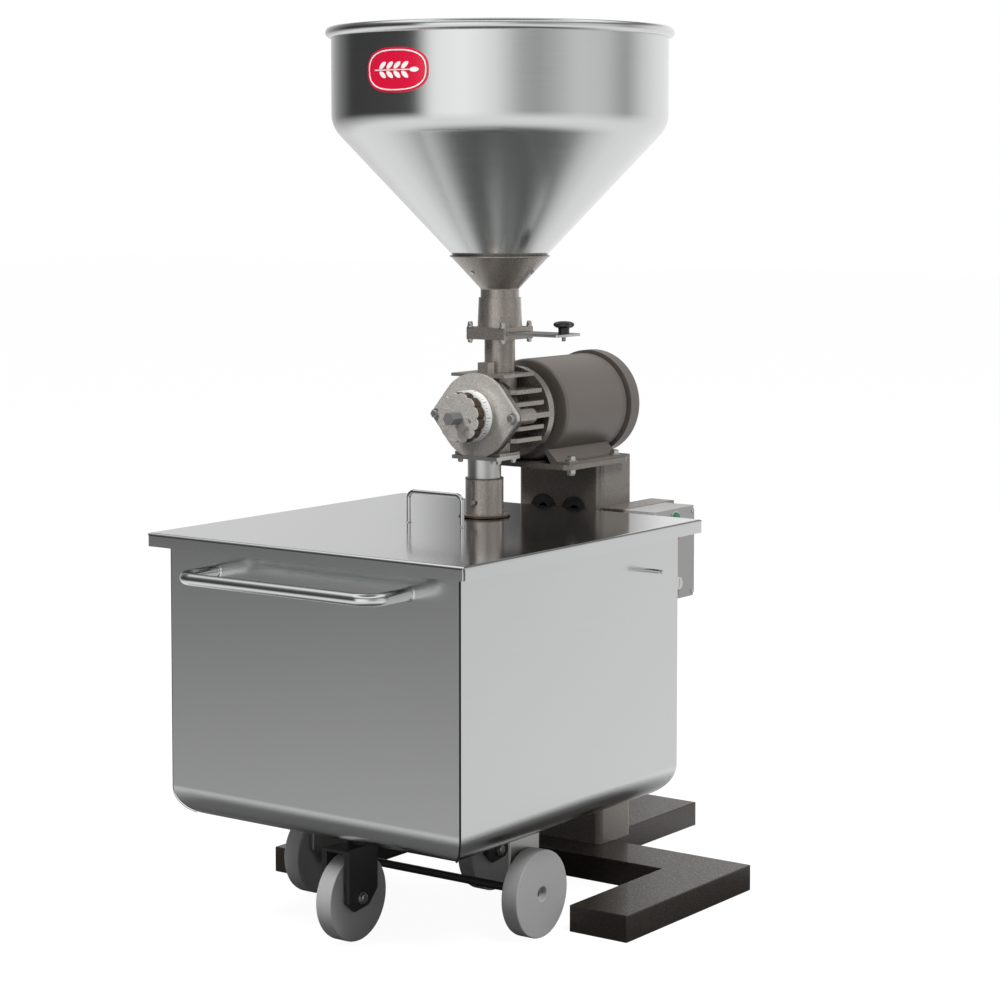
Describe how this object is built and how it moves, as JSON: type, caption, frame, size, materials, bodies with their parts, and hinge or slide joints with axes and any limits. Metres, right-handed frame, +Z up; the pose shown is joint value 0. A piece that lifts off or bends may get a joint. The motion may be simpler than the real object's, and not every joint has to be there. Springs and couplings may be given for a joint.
{
  "type": "disc mill",
  "caption": "Floor-standing disc mill for grain, coffee or spice, with a conical hopper, slide gate, foot motor and a wheeled bin under its spout.",
  "frame": {"origin": "on the floor, under the middle of the base's cross bar", "axes": "+X to the operator's right, +Y to the back along the motor's shaft, +Z up"},
  "size_m": [0.832, 1.305, 1.657],
  "materials": {
    "hammertone": "grey-brown hammertone paint with a fine mottled texture",
    "dark_hammertone": "dark brown hammertone paint",
    "motor_paint": "smooth warm grey-brown satin paint",
    "adaptor_dark": "dark satin paint",
    "stainless": "brushed stainless sheet",
    "zinc": "bright zinc plate",
    "tool_steel": "ground steel",
    "rubber_black": "matt black rubber",
    "black_plastic": "moulded black plastic",
    "polyamide": "light grey moulded polyamide",
    "winding": "varnished laminations and windings",
    "badge_red": "gloss red enamel badge",
    "switch_grey": "light grey powder coat",
    "scale_white": "white enamel with engraved black ticks",
    "green_plastic": "green moulded plastic",
    "red_plastic": "red moulded plastic",
    "white_plastic": "white moulded plastic",
    "undercarriage": "black satin paint"
  },
  "bodies": {
    "stand": {"base_frame": "dark_hammertone", "post": "hammertone", "post_grommets": "rubber_black", "motor_plate": "hammertone", "motor_barrel": "motor_paint", "motor_feet": "motor_paint", "motor_front_shield": "motor_paint", "motor_rear_shield": "motor_paint", "fan_cowl": "motor_paint", "stator": "winding", "motor_bearings": "tool_steel", "mill_adaptor": "adaptor_dark", "shaft_seal": "rubber_black", "mill_housing": "hammertone", "fixed_disc": "tool_steel", "front_cover": "hammertone", "machine_bolts": "zinc", "flange_bolts": "zinc", "outlet_tube": "zinc", "inlet_pipe": "hammertone", "gate_frame": "hammertone", "hopper_socket": "hammertone", "hopper_cup": "hammertone", "small_screws": "zinc", "hopper": "stainless", "hopper_badge": "badge_red", "switch_bracket": "hammertone", "switch_box": "switch_grey", "switch_cover": "switch_grey", "contactor": "black_plastic"},
    "dial": {"dial_knob": "hammertone", "scale_ring": "scale_white", "adjusting_spindle": "zinc"},
    "thrust": {"thrust_piece": "tool_steel"},
    "rotor": {"rotor_shaft": "tool_steel", "rotor_core": "tool_steel", "cooling_fan": "black_plastic", "feed_auger": "tool_steel", "rotating_disc": "tool_steel"},
    "gate": {"gate_plate": "zinc", "gate_knob": "black_plastic"},
    "sleeve": {"outlet_sleeve": "hammertone"},
    "bin": {"bin_body": "stainless", "bin_lid": "stainless", "lid_handle": "stainless", "bin_handle": "stainless", "side_pin": "stainless", "wheel_brackets": "zinc", "wheel_axle": "undercarriage"},
    "wheel_left": {"left_wheel": "polyamide"},
    "wheel_right": {"right_wheel": "polyamide"},
    "caster_front": {"front_fork": "undercarriage"},
    "caster_front_wheel": {"front_wheel": "polyamide"},
    "caster_rear": {"rear_fork": "undercarriage"},
    "caster_rear_wheel": {"rear_wheel": "polyamide"},
    "start": {"start_button": "green_plastic"},
    "stop": {"stop_button": "red_plastic"},
    "lock": {"lock_knob": "white_plastic"}
  },
  "joints": [
    {"name": "dial_turn", "type": "hinge", "parent": "stand", "child": "dial", "pos_m": [0, -0.312, 0.922], "axis": [0, 1, 0], "range_deg": [0, 300]},
    {"name": "thrust_slide", "type": "slide", "parent": "stand", "child": "thrust", "axis": [0, 1, 0], "range_m": [0, 0.0021]},
    {"name": "rotor_spin", "type": "hinge", "parent": "thrust", "child": "rotor", "pos_m": [0, 0, 0.922], "axis": [0, 1, 0], "continuous": true},
    {"name": "gate_slide", "type": "slide", "parent": "stand", "child": "gate", "axis": [1, 0, 0], "range_m": [-0.06, 0]},
    {"name": "sleeve_drop", "type": "slide", "parent": "stand", "child": "sleeve", "axis": [0, 0, 1], "range_m": [-0.037, 0]},
    {"name": "bin_roll", "type": "slide", "parent": "stand", "child": "bin", "axis": [0, -1, 0], "range_m": [0, 0.75]},
    {"name": "left_wheel_spin", "type": "hinge", "parent": "bin", "child": "wheel_left", "pos_m": [-0.2555, -0.434, 0.08], "axis": [1, 0, 0], "continuous": true},
    {"name": "right_wheel_spin", "type": "hinge", "parent": "bin", "child": "wheel_right", "pos_m": [0.2555, -0.434, 0.08], "axis": [1, 0, 0], "continuous": true},
    {"name": "front_swivel", "type": "hinge", "parent": "bin", "child": "caster_front", "pos_m": [0, -0.61, 0.18], "axis": [0, 0, 1], "continuous": true},
    {"name": "front_wheel_spin", "type": "hinge", "parent": "caster_front", "child": "caster_front_wheel", "pos_m": [0, -0.645, 0.08], "axis": [1, 0, 0], "continuous": true},
    {"name": "rear_swivel", "type": "hinge", "parent": "bin", "child": "caster_rear", "pos_m": [0, -0.188, 0.18], "axis": [0, 0, 1], "continuous": true},
    {"name": "rear_wheel_spin", "type": "hinge", "parent": "caster_rear", "child": "caster_rear_wheel", "pos_m": [0, -0.223, 0.08], "axis": [1, 0, 0], "continuous": true},
    {"name": "start_press", "type": "slide", "parent": "stand", "child": "start", "axis": [1, 0, 0], "range_m": [-0.003, 0], "stiffness_N_per_m": 400},
    {"name": "stop_press", "type": "slide", "parent": "stand", "child": "stop", "axis": [1, 0, 0], "range_m": [-0.003, 0], "stiffness_N_per_m": 400},
    {"name": "lock_turn", "type": "hinge", "parent": "stand", "child": "lock", "pos_m": [0.23, 0.086, 0.578], "axis": [1, 0, 0], "range_deg": [0, 90]}
  ],
  "couplings": [
    {"joint": "thrust_slide", "follows": "dial_turn", "m_per_rad": 0.0003979},
    {"joint": "left_wheel_spin", "follows": "bin_roll", "rad_per_m": 12.5},
    {"joint": "right_wheel_spin", "follows": "bin_roll", "rad_per_m": 12.5}
  ]
}
